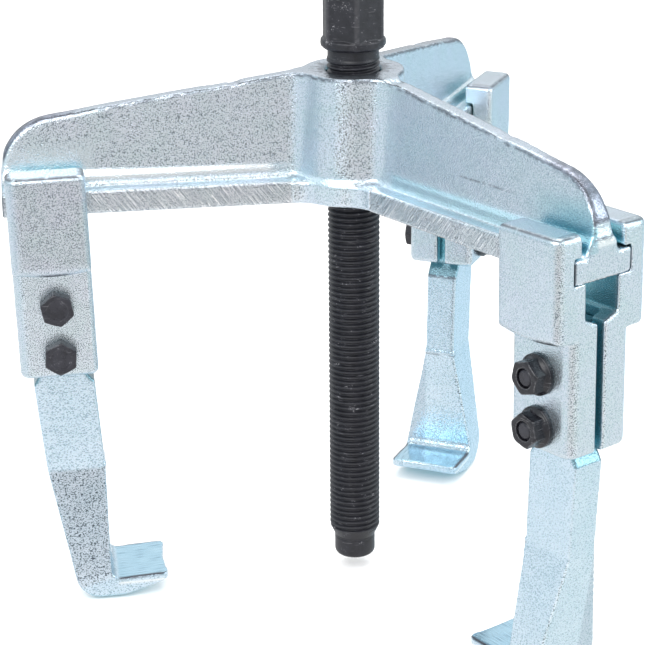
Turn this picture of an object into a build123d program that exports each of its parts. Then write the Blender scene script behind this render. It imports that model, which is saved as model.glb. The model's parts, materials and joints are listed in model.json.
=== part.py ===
from build123d import *
import math
import os

# Three-arm puller with sliding jaws. The origin is the end face of the spindle's thrust point,
# on the spindle's axis; +Z runs up the spindle to its drive hexagon. Lengths are millimetres.
# Along an arm, "out" is the distance from the spindle's axis, "across" is measured sideways
# from the arm's middle plane (positive counter-clockwise seen from above), and "up" is
# measured from the underside of the crossbeam.

# --- crossbeam -----------------------------------------------------------------------------
ARM_ANGLES = {"rear": 60.0, "left": 180.0, "front": 300.0}
RAIL_Z = 106.2          # underside of the crossbeam above the thrust point
RAIL_END = 92.4         # outer end of each arm
FLANGE_HALF = 9.24      # half width of the flange that the jaws ride on
FLANGE_T = 6.2          # thickness of that flange
FLANGE_EDGE = 0.7       # rounding of the flange's long edges
HUB_BASE_R = 16.4       # lug between the flanges
HUB_BASE_FILLET = 8.5
HUB_R = 15.8            # hub where it leaves the flange
HUB_FILLET = 5.0        # web running into the hub
HUB_TOP = 33.4          # flat top of the hub
WEB_HALF_IN = 4.9       # half thickness of the web's root at the hub
WEB_HALF_OUT = 3.7      # and at the outer end
WEB_DRAFT = 5.4         # forging draft of the web and hub, degrees
RIDGE_IN = (15.0, 33.4)     # out, up: where the web's ridge leaves the hub's top
RIDGE_OUT = (79.3, 24.5)    # out, up: where the ridge turns down
NOSE_UP = 12.2          # the rounded nose ends here, flush with the arm's end
WEB_FOOT = ((5.6, 6.2), (4.7, 7.3), (4.7, 9.0), (3.2, 10.4))   # across, up: the web's thicker foot
BORE_R = 7.05           # threaded bore, modelled at the spindle's outer diameter
BORE_CHAMFER = 0.8

# --- spindle -------------------------------------------------------------------------------
THREAD_R = 7.0          # M14
POINT_R = 5.6
POINT_H = 5.5
POINT_CHAMFER = 0.9
STEM_R = 2.5            # stem of the thrust point in the end of the spindle
STEM_H = 8.0
RUNNING_GAP = 0.05      # radial clearance of everything that turns or slides in a hole
THREAD_START = 9.2      # full thread starts here
THREAD_END = 142.3
NECK_R = 6.75
NECK_SLOPE = 0.6        # length over which the thread runs out into the neck
COLLAR_R = 8.5
COLLAR_Z = 145.0
COLLAR_H = 3.2
COLLAR_CHAMFER = 1.1    # below
COLLAR_RIM = 0.4        # and above
HEX_AF = 15.0
HEX_H = 17.0
HEX_TURN = 28.0         # angle of one corner of the drive hexagon
HEX_CHAMFER = 0.9

# --- jaws ----------------------------------------------------------------------------------
JAW_OUT = {"rear": 83.0, "left": 80.5, "front": 81.6}
JAW_LEAN = {"rear": 0.0, "left": -1.3, "front": 1.1}    # play on the rail, foot outwards if > 0
SLIDE_IN = 9.7          # a slide half reaches this far towards the spindle from its bolts
SLIDE_OUT = 10.8        # and this far away from it
SLIDE_TOP = 12.0
SLIDE_UPPER = 15.2      # outer face of the upper part, from the middle plane
SLIDE_LOWER = 10.0      # outer face of the lower part
SHOULDER_MID = -15.3    # lower edge of the upper part, in the middle of its arc
SHOULDER_AXIS = 32.2    # height of that arc's centre
SHOULDER_ROUND = 3.0
SLIDE_BOTTOM = -44.4
SLIDE_SLOT = 1.15       # half the slot between the two halves
LIP_IN = 7.0            # inner edge of the lip over the flange
GROOVE_IN = 9.44
GROOVE_FLOOR = -0.3
GROOVE_ROOF = 6.5
CAVITY_HALF = 5.4
CAVITY_FLOOR = -9.4
CAVITY_STEP = -11.2
UPPER_EDGE = 1.5        # rounding of the top
LOWER_EDGE = 1.6        # rounding of the bottom
CORNER_IN = 1.8         # upright corners, towards the spindle
CORNER_OUT = 3.0        # and away from it
TANG_HALF_L = 5.8       # half the tang's length along the arm
TANG_HALF_T = 4.6       # half the thickness of the tang and the upper leg
TANG_TOP = -12.2
TANG_GAP = 0.1          # room for the tang in its pocket
POCKET_TOP = -9.0

# --- hook, all as (out from the jaw's middle, up) --------------------------------------------
LEG_SHOULDER_TOP = -45.0
LEG_TOP = -48.4
LEG_OUTER_TOP = 7.7
LEG_INNER_TOP = -8.5
CREASE_UP = -73.3
CREASE_OUTER = 6.0
CREASE_INNER = -9.7
HEEL_OUTER = (1.0, -101.2)
HEEL_CORNER = -0.6      # where the outer face would meet the sole
FOOT_BOTTOM = -110.0
BALL_OUT = -12.4        # the sole rises from here to the tip
LEG_INNER_LOW = -9.2
FOOT_TOP_ROOT = -104.8
FOOT_TOP_TIP = -104.1
TIP_OUT = -24.5
TIP_UNDER = -106.3
HEEL_R = 7.0
THROAT_R = 2.4
FOOT_HALF = 10.4        # half the foot's width
FOOT_FULL_UP = -103.0   # the leg has flared to the foot's width here
TIP_CORNER_R = 2.2
TIP_HOLLOW = 0.6        # how far the tip's edge is hollowed
HOLLOW_R = 55.0

# --- screws --------------------------------------------------------------------------------
BOLT_UP = (-24.5, -38.0)
BOLT_R = 2.45
BOLT_HOLE_R = 2.65
NUT_BORE_R = 2.5
SCREW_AF = 8.0
HEAD_H = 3.5
NUT_H = 5.0
NUT_FLANGE_R = 5.25
NUT_FLANGE_H = 1.2
NUT_FLANGE_STEP = 0.3
NUT_FLANGE_SLOPE = 50.0
BOLT_SHORT = 0.3        # the bolt ends this far inside the nut's outer face
BOLT_TIP = 0.65         # chamfer of the bolt's end
CORNER_CHAMFER = (0.35, 0.62)   # along the axis, inwards
HEAD_TURNS = {"rear": (8.0, 47.0), "left": (20.0, 35.0), "front": (12.0, 41.0)}
NUT_TURNS = {"rear": (33.0, 5.0), "left": (50.0, 24.0), "front": (17.0, 44.0)}

THROUGH = 40.0          # long enough to cut right through a jaw
OVERCUT = 2.0           # how far an outline runs past the body that it trims


def outward(angle):
    return Vector(math.cos(math.radians(angle)), math.sin(math.radians(angle)), 0)


def sideways(angle):
    return Vector(-math.sin(math.radians(angle)), math.cos(math.radians(angle)), 0)


def side_plane(angle):
    """Plane through the middle of an arm: x runs outwards, y up, the normal clockwise."""
    return Plane(
        origin=(0, 0, RAIL_Z), x_dir=outward(angle), z_dir=sideways(angle) * -1
    )


def arm_end_plane(angle):
    """Plane across an arm at the hub: x runs sideways, y up, the normal outwards."""
    return Plane(origin=(0, 0, RAIL_Z), x_dir=sideways(angle), z_dir=outward(angle))


def jaw_plane(name):
    """The same plane for a jaw: its origin is on the rail's underside, and it leans with the jaw."""
    angle, lean = ARM_ANGLES[name], math.radians(JAW_LEAN[name])
    along = outward(angle) * math.cos(lean) + Vector(0, 0, math.sin(lean))
    place = outward(angle) * JAW_OUT[name] + Vector(0, 0, RAIL_Z)
    return Plane(origin=place, x_dir=along, z_dir=sideways(angle) * -1)


def end_plane(jaw):
    """Plane across a jaw: x runs counter-clockwise, y up, the normal outwards."""
    return Plane(origin=jaw.origin, x_dir=jaw.z_dir * -1, z_dir=jaw.x_dir)


def top_plane(jaw, up):
    """Plane above a jaw's origin: x runs outwards, y counter-clockwise, the normal up."""
    return Plane(origin=jaw.origin + jaw.y_dir * up, x_dir=jaw.x_dir, z_dir=jaw.y_dir)


def screw_plane(jaw, up, across, facing, turn=0.0):
    """Plane on a clamping bolt's axis, facing away from the arm on the side given."""
    spin = math.radians(turn)
    x_dir = jaw.x_dir * math.cos(spin) + jaw.y_dir * math.sin(spin)
    place = jaw.origin + jaw.y_dir * up - jaw.z_dir * across
    return Plane(origin=place, x_dir=x_dir, z_dir=jaw.z_dir * -facing)


def finish(block, label):
    block.part.label = label
    export_step(block.part, f"parts/{label}.step")


# --- crossbeam -----------------------------------------------------------------------------
def at_radius(radius):
    return lambda vertex: abs(math.hypot(vertex.X, vertex.Y) - radius) < 0.05


def make_crossbeam():
    with BuildPart() as beam:
        with BuildSketch(Plane.XY.offset(RAIL_Z)) as flange_plan:
            Circle(HUB_BASE_R)
            with PolarLocations(RAIL_END / 2, len(ARM_ANGLES), start_angle=ARM_ANGLES["rear"]):
                Rectangle(RAIL_END, 2 * FLANGE_HALF)
            fillet(flange_plan.vertices().filter_by(at_radius(HUB_BASE_R)), HUB_BASE_FILLET)
        extrude(amount=FLANGE_T)
        long_edges = beam.edges().filter_by(Plane.XY).filter_by(GeomType.LINE)
        fillet(long_edges.filter_by(lambda edge: edge.length > RAIL_END / 2), FLANGE_EDGE)

        with BuildSketch(Plane.XY.offset(RAIL_Z + FLANGE_T)) as web_plan:
            Circle(HUB_R)
            with PolarLocations(0, len(ARM_ANGLES), start_angle=ARM_ANGLES["rear"]):
                Polygon(
                    (0, -WEB_HALF_IN), (RAIL_END, -WEB_HALF_OUT),
                    (RAIL_END, WEB_HALF_OUT), (0, WEB_HALF_IN), align=None,
                )
            fillet(web_plan.vertices().filter_by(at_radius(HUB_R)), HUB_FILLET)
        extrude(amount=HUB_TOP - FLANGE_T, taper=WEB_DRAFT)

        for angle in ARM_ANGLES.values():
            with BuildSketch(arm_end_plane(angle)):
                with BuildLine():
                    Polyline((0, 0), (WEB_FOOT[0][0], 0), *WEB_FOOT, (0, WEB_FOOT[-1][1]))
                    mirror(about=Plane.YZ)
                make_face()
            extrude(amount=RAIL_END)

            with BuildSketch(side_plane(angle)):
                with BuildLine():
                    ridge = Line(RIDGE_IN, RIDGE_OUT)
                    nose = TangentArc(RIDGE_OUT, (RAIL_END, NOSE_UP), tangent=ridge % 1)
                    Polyline(
                        nose @ 1, (RAIL_END, FLANGE_T), (2 * RAIL_END, FLANGE_T),
                        (2 * RAIL_END, 2 * HUB_TOP), (RIDGE_IN[0], 2 * HUB_TOP), RIDGE_IN,
                    )
                make_face()
            extrude(amount=RAIL_END / 3, both=True, mode=Mode.SUBTRACT)

        with Locations((0, 0, RAIL_Z + HUB_TOP)):
            Hole(BORE_R)
        mouths = beam.edges().filter_by(GeomType.CIRCLE)
        chamfer(mouths.filter_by(lambda edge: abs(edge.radius - BORE_R) < 0.01), BORE_CHAMFER)
    return beam


# --- spindle and its thrust point ------------------------------------------------------------
def make_spindle():
    with BuildPart() as rod:
        with BuildSketch(Plane.XZ):
            with BuildLine():
                Polyline(
                    (0, POINT_H), (POINT_R, POINT_H), (THREAD_R, THREAD_START),
                    (THREAD_R, THREAD_END), (NECK_R, THREAD_END + NECK_SLOPE), (NECK_R, COLLAR_Z),
                    (COLLAR_R - COLLAR_CHAMFER, COLLAR_Z), (COLLAR_R, COLLAR_Z + COLLAR_CHAMFER),
                    (COLLAR_R, COLLAR_Z + COLLAR_H - COLLAR_RIM),
                    (COLLAR_R - COLLAR_RIM, COLLAR_Z + COLLAR_H),
                    (0, COLLAR_Z + COLLAR_H), (0, POINT_H),
                )
            make_face()
        revolve(axis=Axis.Z)
        with BuildSketch(Plane.XY.offset(COLLAR_Z + COLLAR_H)):
            RegularPolygon(HEX_AF / 2, 6, major_radius=False, rotation=HEX_TURN)
        extrude(amount=HEX_H)
        chamfer(rod.faces().sort_by(Axis.Z)[-1].edges(), HEX_CHAMFER)
        with BuildSketch(Plane.XY.offset(POINT_H)):
            Circle(STEM_R + RUNNING_GAP)
        extrude(amount=STEM_H + 2 * RUNNING_GAP, mode=Mode.SUBTRACT)
    return rod


def make_spindle_point():
    with BuildPart() as point:
        with BuildSketch(Plane.XY):
            Circle(POINT_R)
        extrude(amount=POINT_H - RUNNING_GAP)
        chamfer(point.edges().sort_by(Axis.Z)[0], POINT_CHAMFER)
        with BuildSketch(Plane.XY.offset(POINT_H - RUNNING_GAP)):
            Circle(STEM_R)
        extrude(amount=STEM_H)
    return point


# --- jaws ----------------------------------------------------------------------------------
def slab(jaw, side, across, top, bottom, edge):
    """A block with rounded upright corners, rounded at its top, or at its bottom if edge < 0."""
    with BuildSketch(top_plane(jaw, bottom), mode=Mode.PRIVATE) as plan:
        with Locations(((SLIDE_OUT - SLIDE_IN) / 2, side * across / 2)):
            Rectangle(SLIDE_IN + SLIDE_OUT, across)
        for corner_out, radius in ((-SLIDE_IN, CORNER_IN), (SLIDE_OUT, CORNER_OUT)):
            corner = Vector(corner_out, side * across, 0)
            fillet(plan.vertices().sort_by_distance(corner)[0], radius)
    block = extrude(plan.sketch, amount=top - bottom, mode=Mode.PRIVATE)
    face = block.faces().sort_by(Axis.Z)[-1 if edge > 0 else 0]
    rim = [item for item in face.edges() if -jaw.to_local_coords(item.center()).Z * side > 0.01]
    return block.solid().fillet(abs(edge), rim)


def make_slide_half(jaw, side):
    """One clamping half. side is +1 under the bolt heads and -1 under the nuts."""
    end_view = end_plane(jaw)
    with BuildPart() as half:
        add(slab(jaw, side, SLIDE_UPPER, SLIDE_TOP, SHOULDER_MID - OVERCUT, UPPER_EDGE))
        with BuildSketch(end_view) as shoulder:
            with BuildLine():
                Polyline(
                    (0, SHOULDER_AXIS - OVERCUT), (side * SLIDE_UPPER, SHOULDER_AXIS - OVERCUT),
                    (side * SLIDE_UPPER, SHOULDER_MID), (0, SHOULDER_MID),
                    (0, SHOULDER_AXIS - OVERCUT),
                )
            make_face()
            corner = Vector(side * SLIDE_UPPER, SHOULDER_MID, 0)
            fillet(shoulder.vertices().sort_by_distance(corner)[0], SHOULDER_ROUND)
        pivot = jaw.origin + jaw.y_dir * SHOULDER_AXIS
        revolve(axis=Axis(pivot, jaw.z_dir * -1), mode=Mode.INTERSECT)

        add(slab(jaw, side, SLIDE_LOWER, CAVITY_FLOOR, SLIDE_BOTTOM, -LOWER_EDGE))

        with BuildSketch(end_view):
            with BuildLine():
                Polyline(
                    (-side, SLIDE_TOP + OVERCUT), (side * LIP_IN, SLIDE_TOP + OVERCUT),
                    (side * LIP_IN, GROOVE_ROOF), (side * GROOVE_IN, GROOVE_ROOF),
                    (side * GROOVE_IN, GROOVE_FLOOR), (side * CAVITY_HALF, GROOVE_FLOOR),
                    (side * CAVITY_HALF, CAVITY_FLOOR), (side * SLIDE_SLOT, CAVITY_STEP),
                    (side * SLIDE_SLOT, SLIDE_BOTTOM - OVERCUT), (-side, SLIDE_BOTTOM - OVERCUT),
                    (-side, SLIDE_TOP + OVERCUT),
                )
            make_face()
        extrude(amount=THROUGH, both=True, mode=Mode.SUBTRACT)

        with BuildSketch(jaw):
            with Locations((0, (SLIDE_BOTTOM - OVERCUT + POCKET_TOP) / 2)):
                Rectangle(2 * (TANG_HALF_L + TANG_GAP), POCKET_TOP - SLIDE_BOTTOM + OVERCUT)
        extrude(amount=-side * (TANG_HALF_T + TANG_GAP), mode=Mode.SUBTRACT)

        for up in BOLT_UP:
            with BuildSketch(screw_plane(jaw, up, 0.0, side)):
                Circle(BOLT_HOLE_R)
            extrude(amount=THROUGH, mode=Mode.SUBTRACT)
    return half


def make_hook(jaw):
    """Tang, leg and foot of one jaw, forged in one piece."""
    with BuildPart() as hook:
        with BuildSketch(jaw) as profile:
            with BuildLine():
                Polyline(
                    (-TANG_HALF_L, TANG_TOP), (TANG_HALF_L, TANG_TOP),
                    (TANG_HALF_L, LEG_SHOULDER_TOP), (LEG_OUTER_TOP, LEG_TOP),
                    (CREASE_OUTER, CREASE_UP), HEEL_OUTER, (HEEL_CORNER, FOOT_BOTTOM),
                    (BALL_OUT, FOOT_BOTTOM), (TIP_OUT, TIP_UNDER), (TIP_OUT, FOOT_TOP_TIP),
                    (LEG_INNER_LOW, FOOT_TOP_ROOT), (CREASE_INNER, CREASE_UP),
                    (LEG_INNER_TOP, LEG_TOP), (-TANG_HALF_L, LEG_SHOULDER_TOP),
                    (-TANG_HALF_L, TANG_TOP),
                )
            make_face()
            heel = Vector(HEEL_CORNER, FOOT_BOTTOM, 0)
            fillet(profile.vertices().sort_by_distance(heel)[0], HEEL_R)
            throat = Vector(LEG_INNER_LOW, FOOT_TOP_ROOT, 0)
            fillet(profile.vertices().sort_by_distance(throat)[0], THROAT_R)
        extrude(amount=FOOT_HALF, both=True)

        with BuildSketch(end_plane(jaw)):
            with BuildLine():
                Polyline(
                    (-TANG_HALF_T, TANG_TOP + 1), (TANG_HALF_T, TANG_TOP + 1),
                    (TANG_HALF_T, CREASE_UP), (FOOT_HALF, FOOT_FULL_UP), (FOOT_HALF, FOOT_BOTTOM),
                    (-FOOT_HALF, FOOT_BOTTOM), (-FOOT_HALF, FOOT_FULL_UP),
                    (-TANG_HALF_T, CREASE_UP), (-TANG_HALF_T, TANG_TOP + 1),
                )
            make_face()
        extrude(amount=THROUGH, both=True, mode=Mode.INTERSECT)

        tip_end = hook.faces().sort_by(Axis(jaw.origin, jaw.x_dir))[0]
        upright = Axis(jaw.origin, jaw.y_dir)
        fillet(tip_end.edges().filter_by(upright), TIP_CORNER_R)
        with BuildSketch(top_plane(jaw, FOOT_BOTTOM)):
            with Locations((TIP_OUT + TIP_HOLLOW - HOLLOW_R, 0)):
                Circle(HOLLOW_R)
        extrude(amount=FOOT_TOP_TIP - FOOT_BOTTOM + 1, mode=Mode.SUBTRACT)

        for up in BOLT_UP:
            with BuildSketch(screw_plane(jaw, up, 0.0, 1)):
                Circle(BOLT_HOLE_R)
            extrude(amount=THROUGH, both=True, mode=Mode.SUBTRACT)
    return hook


def hexagon(plane, height, turn_plane):
    """Hexagonal prism on a plane, its outer rim turned down."""
    with BuildSketch(plane, mode=Mode.PRIVATE) as disc:
        Circle(SCREW_AF / math.sqrt(3))
    blank = extrude(disc.sketch, amount=height, mode=Mode.PRIVATE)
    rims = blank.edges().filter_by(GeomType.CIRCLE).sort_by(Axis(plane.origin, plane.z_dir))
    turned = blank.solid().chamfer(CORNER_CHAMFER[0], CORNER_CHAMFER[1], [rims[-1]])
    with BuildSketch(turn_plane, mode=Mode.PRIVATE) as flats:
        RegularPolygon(SCREW_AF / 2, 6, major_radius=False)
    return turned & extrude(flats.sketch, amount=height, mode=Mode.PRIVATE)


def make_bolt(jaw, up, turn):
    """Hexagon bolt, its head on the counter-clockwise side of the arm."""
    seat = screw_plane(jaw, up, SLIDE_LOWER, 1)
    head = hexagon(seat, HEAD_H, screw_plane(jaw, up, SLIDE_LOWER, 1, turn))
    with BuildPart() as bolt:
        add(head)
        with BuildSketch(screw_plane(jaw, up, SLIDE_LOWER, -1)):
            Circle(BOLT_R)
        extrude(amount=2 * SLIDE_LOWER + NUT_H - BOLT_SHORT)
        tip = bolt.faces().sort_by(Axis(seat.origin, seat.z_dir))[0]
        chamfer(tip.edges(), BOLT_TIP)
    return bolt


def make_nut(jaw, up, turn):
    """Flange nut on the clockwise side of the arm."""
    seat = screw_plane(jaw, up, -SLIDE_LOWER, -1)
    body = hexagon(seat, NUT_H, screw_plane(jaw, up, -SLIDE_LOWER, -1, turn))
    with BuildPart() as nut:
        add(body)
        with BuildSketch(seat):
            Circle(NUT_FLANGE_R)
        extrude(amount=NUT_FLANGE_H)
        with BuildSketch(seat.offset(NUT_FLANGE_H)):
            Circle(NUT_FLANGE_R - NUT_FLANGE_STEP)
        extrude(amount=NUT_FLANGE_H, taper=NUT_FLANGE_SLOPE)
        with BuildSketch(seat):
            Circle(NUT_BORE_R)
        extrude(amount=NUT_H, mode=Mode.SUBTRACT)
    return nut


os.makedirs("parts", exist_ok=True)
finish(make_crossbeam(), "crossbeam")
finish(make_spindle(), "spindle")
finish(make_spindle_point(), "spindle_point")

for name in ARM_ANGLES:
    jaw = jaw_plane(name)
    finish(make_slide_half(jaw, 1), f"{name}_slide_half_bolt_side")
    finish(make_slide_half(jaw, -1), f"{name}_slide_half_nut_side")
    finish(make_hook(jaw), f"{name}_hook")
    for level, up, head_turn, nut_turn in zip(
        ("upper", "lower"), BOLT_UP, HEAD_TURNS[name], NUT_TURNS[name]
    ):
        finish(make_bolt(jaw, up, head_turn), f"{name}_{level}_bolt")
        finish(make_nut(jaw, up, nut_turn), f"{name}_{level}_nut")
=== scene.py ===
import json
import math
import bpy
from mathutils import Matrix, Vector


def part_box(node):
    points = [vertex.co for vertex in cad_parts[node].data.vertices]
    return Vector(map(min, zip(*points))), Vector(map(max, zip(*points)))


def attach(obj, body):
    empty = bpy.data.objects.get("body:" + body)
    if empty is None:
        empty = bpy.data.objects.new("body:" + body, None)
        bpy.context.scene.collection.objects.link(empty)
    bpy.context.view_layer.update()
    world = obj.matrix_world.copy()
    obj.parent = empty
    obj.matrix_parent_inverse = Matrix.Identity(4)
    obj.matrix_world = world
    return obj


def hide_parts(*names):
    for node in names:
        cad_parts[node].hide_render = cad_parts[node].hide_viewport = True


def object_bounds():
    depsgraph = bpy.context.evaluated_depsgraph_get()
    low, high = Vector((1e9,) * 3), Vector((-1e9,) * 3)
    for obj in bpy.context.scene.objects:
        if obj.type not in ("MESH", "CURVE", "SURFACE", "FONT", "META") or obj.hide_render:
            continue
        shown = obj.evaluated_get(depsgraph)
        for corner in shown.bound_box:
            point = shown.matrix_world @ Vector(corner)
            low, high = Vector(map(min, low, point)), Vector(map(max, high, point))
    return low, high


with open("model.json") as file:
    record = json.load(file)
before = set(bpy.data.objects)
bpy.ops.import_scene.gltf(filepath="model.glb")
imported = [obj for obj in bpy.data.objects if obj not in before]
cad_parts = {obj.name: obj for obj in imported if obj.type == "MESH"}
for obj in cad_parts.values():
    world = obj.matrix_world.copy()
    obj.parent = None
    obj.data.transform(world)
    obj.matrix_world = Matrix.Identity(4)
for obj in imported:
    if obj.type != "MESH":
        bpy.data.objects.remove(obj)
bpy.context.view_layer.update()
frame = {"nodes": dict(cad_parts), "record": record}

from types import SimpleNamespace

import bmesh
import bpy
import numpy as np
from mathutils import Matrix, Vector

# Three-arm puller with sliding jaws. Shapes are worked out in millimetres: for a jaw or an arm
# in its own axes (out, across, up), with "up" counted from the underside of the crossbeam.
# A piece is a fine copy of its CAD mesh, softened, roughened and marked point by point. What a
# material needs to know about a point is stored on the mesh under a name, as 0 to 1:
#   grit_and_sparkle  how coarse the blasted skin is, with painted sparkle   painted_light  painted highlight and reflection, out of any painted shade
#   milled   cut by a mill, with slanted strokes    painted_shade   painted shade in hollows and under parts, darker and bluer
#   ground   ground bright along its length         mark_and_shade  dark lines, chips and stains, and painted shade and dark reflection lines
#   grey_and_shade  greyer along the ridges, and painted shade on some faces    edge  black finish worn off an edge
# and "cut" holds the place in the pattern of the mill's strokes.

MM = 0.001
ARMS = ("rear", "left", "front")
UP = Vector((0, 0, 1))
RAIL_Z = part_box("crossbeam")[0][2] / MM
BOLT_UP = (-24.5, -38.0)        # heights of the two clamping bolts


# --- numbers -------------------------------------------------------------------------------
def smooth(x, low, high):
    """0 below low, 1 above high, with a soft step between."""
    t = np.clip((x - low) / (high - low), 0, 1)
    return t * t * (3 - 2 * t)


def lattice(i, seed):
    """A fixed value from -1 to 1 for each whole-number point."""
    a = i.astype(np.int64)
    h = (a[:, 0] * 73856093) ^ (a[:, 1] * 19349663) ^ (a[:, 2] * 83492791) ^ (seed * 2654435761)
    h = (h ^ (h >> 13)) & 0xFFFFFFFF
    h = (h * 1274126177) & 0xFFFFFFFF
    h = (h ^ (h >> 16)) & 0xFFFFFF
    return h / float(0x7FFFFF) - 1.0


def noise(p, size, seed):
    """Smooth noise from -1 to 1 whose lumps are about size millimetres across."""
    q = p / size
    base = np.floor(q)
    f = q - base
    f = f * f * (3 - 2 * f)
    total = np.zeros(len(p))
    for dx in (0, 1):
        for dy in (0, 1):
            for dz in (0, 1):
                w = (
                    (f[:, 0] if dx else 1 - f[:, 0])
                    * (f[:, 1] if dy else 1 - f[:, 1])
                    * (f[:, 2] if dz else 1 - f[:, 2])
                )
                total += w * lattice(base + (dx, dy, dz), seed)
    return total


def band(x, middle, width):
    """1 at the middle and falling to 0 on both sides."""
    return np.exp(-(((x - middle) / width) ** 2))


def forged(p, seed):
    """Height in millimetres of a forged skin: lumps over lumps."""
    return (
        0.045 * noise(p, 6.76, seed) + 0.020 * noise(p, 2.6, seed + 1) + 0.010 * noise(p, 1.092, seed + 2)
    )


# --- meshes --------------------------------------------------------------------------------
def joint_axis(name):
    """The way an arm points, from its jaw's joint."""
    for joint in frame["record"]["behaviour"]["joints"]:
        if joint["child"] == f"{name}_jaw":
            return Vector(joint["axis"]).normalized()


def jaw_axes(name):
    """Matrix from a jaw's own axes in millimetres to the frame in metres."""
    across = UP.cross(joint_axis(name))
    centres = []
    for level in ("upper", "lower"):
        low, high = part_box(f"{name}_{level}_bolt")
        centre = (Vector(low) + Vector(high)) / 2
        centres.append(centre - across * centre.dot(across))
    high = (centres[0] - centres[1]).normalized()
    origin = centres[0] - high * BOLT_UP[0] * MM
    turn = Matrix((across.cross(high), across, high)).transposed().to_4x4()
    return Matrix.Translation(origin) @ turn @ Matrix.Scale(MM, 4)


def store(mesh, name, values):
    """Keeps a number or a vector at each point, for a material to read."""
    kind, field = ("FLOAT", "value") if values.ndim == 1 else ("FLOAT_VECTOR", "vector")
    layer = mesh.attributes.new(name, kind, "POINT")
    layer.data.foreach_set(field, np.ascontiguousarray(values, dtype=np.float32).ravel())


def points(mesh):
    """The places of a mesh's points, one row each."""
    p = np.empty(len(mesh.vertices) * 3)
    mesh.vertices.foreach_get("co", p)
    return p.reshape(-1, 3)


def put_points(mesh, p):
    mesh.vertices.foreach_set("co", np.ascontiguousarray(p, dtype=np.float64).ravel())
    mesh.update()


def normals(mesh):
    """The normals at a mesh's points, one row each."""
    n = np.empty(len(mesh.vertices) * 3)
    mesh.vertices.foreach_get("normal", n)
    return n.reshape(-1, 3)


def edges(mesh):
    """The two points at the ends of each edge."""
    e = np.empty(len(mesh.edges) * 2, dtype=np.int64)
    mesh.edges.foreach_get("vertices", e)
    return e.reshape(-1, 2)


def neighbour_mean(p, e, count):
    """The middle of each point's neighbours, along the edges e."""
    total = np.empty_like(p)
    for k in range(3):
        total[:, k] = np.bincount(e[:, 0], p[e[:, 1], k], len(p))
        total[:, k] += np.bincount(e[:, 1], p[e[:, 0], k], len(p))
    return total / count


def neighbour_count(p, e):
    """How many neighbours each point has, as a column."""
    return np.bincount(e.ravel(), minlength=len(p)).astype(float)[:, None]


def relax(mesh, weight, rounds):
    """Smooths a mesh. weight says how much each point follows its neighbours."""
    p, e = points(mesh), edges(mesh)
    count = neighbour_count(p, e)
    for _ in range(rounds):
        p += (0.5 * weight)[:, None] * (neighbour_mean(p, e, count) - p)
    put_points(mesh, p)


def convex(mesh, size):
    """How far each point stands proud of its neighbours, from -1 to 1, against a size in mm."""
    p, e = points(mesh), edges(mesh)
    proud = ((p - neighbour_mean(p, e, neighbour_count(p, e))) * normals(mesh)).sum(axis=1)
    return np.clip(proud / size, -1, 1)


def push(mesh, height):
    """Moves each point along its normal by a height in millimetres."""
    put_points(mesh, points(mesh) + normals(mesh) * height[:, None])


def new_object(name, mesh):
    obj = bpy.data.objects.new(name, mesh)
    bpy.context.scene.collection.objects.link(obj)
    return obj


def remeshed(cad_node, to_local, voxel, name):
    """A fine even copy of a CAD node's mesh, in local millimetres."""
    mesh = frame["nodes"][cad_node].data.copy()
    mesh.materials.clear()
    mesh.transform(to_local)
    obj = new_object(name, mesh)
    weld = bmesh.new()
    weld.from_mesh(mesh)
    bmesh.ops.remove_doubles(weld, verts=weld.verts, dist=0.002)
    weld.to_mesh(mesh)
    weld.free()
    mod = obj.modifiers.new("remesh", "REMESH")
    mod.mode = "VOXEL"
    mod.voxel_size = voxel
    mod.adaptivity = 0.0
    bpy.context.view_layer.update()
    fine = bpy.data.meshes.new_from_object(obj.evaluated_get(bpy.context.evaluated_depsgraph_get()))
    obj.modifiers.clear()
    obj.data = fine
    return obj


def finish_piece(obj, place, finish, cad_node, body, calm=0.0):
    """Puts a piece in its place and gives it its finish. calm is where the skin has less grit and less
    painted sparkle.
    """
    obj.data.transform(place)
    put_points(obj.data, np.clip(points(obj.data), *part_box(cad_node)))
    if finish.name.startswith("zinc"):
        # painted sparkle: coarse grit with dark specks and glints brighter than white, strongest on the
        # skin facing forwards
        facing = -normals(obj.data)[:, 1]
        store(obj.data, "grit_and_sparkle", np.clip((0.05 + 0.75 * smooth(facing, 0.86, 1.0)) * (1 - calm), 0, 1))
    for poly in obj.data.polygons:
        poly.use_smooth = True
    obj.data.materials.clear()
    obj.data.materials.append(finish)
    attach(obj, body)
    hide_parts(cad_node)


# --- materials -----------------------------------------------------------------------------
ZINC_ROUGHNESS = 0.17
SHADE_REACH = 7.0       # painted shade: hollows narrower than this are painted deeper in colour


def grey(value):
    return (value, value, value)


def material(name):
    """A new material, its node tree and its main shader."""
    mat = bpy.data.materials.new(name)
    mat.use_nodes = True
    tree = mat.node_tree
    shader = tree.nodes["Principled BSDF"]
    return mat, tree, shader


def node(tree, kind, **values):
    """A new shader node. values sets its inputs and its settings by name."""
    made = tree.nodes.new(kind)
    for key, value in values.items():
        if key in made.inputs:
            made.inputs[key].default_value = value
        else:
            setattr(made, key, value)
    return made


def link(tree, source, target):
    tree.links.new(source, target)


def object_place(tree):
    return node(tree, "ShaderNodeTexCoord").outputs["Object"]


def stored(tree, name):
    """A number that store() kept on the mesh."""
    return node(tree, "ShaderNodeAttribute", attribute_name=name).outputs["Fac"]


def texture(tree, vector, size, detail, roughness):
    """Noise whose lumps are about size millimetres across."""
    made = node(tree, "ShaderNodeTexNoise", Scale=1 / (size * MM), Detail=detail, Roughness=roughness)
    link(tree, vector, made.inputs["Vector"])
    return made.outputs


def ramp(tree, factor, stops):
    """A colour that follows factor through stops of (place, colour)."""
    made = node(tree, "ShaderNodeValToRGB")
    items = made.color_ramp.elements
    while len(items) < len(stops):
        items.new(0.5)
    for item, (place, colour) in zip(items, stops):
        item.position = place
        item.color = (*colour, 1)
    link(tree, factor, made.inputs["Fac"])
    return made.outputs["Color"]


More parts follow.
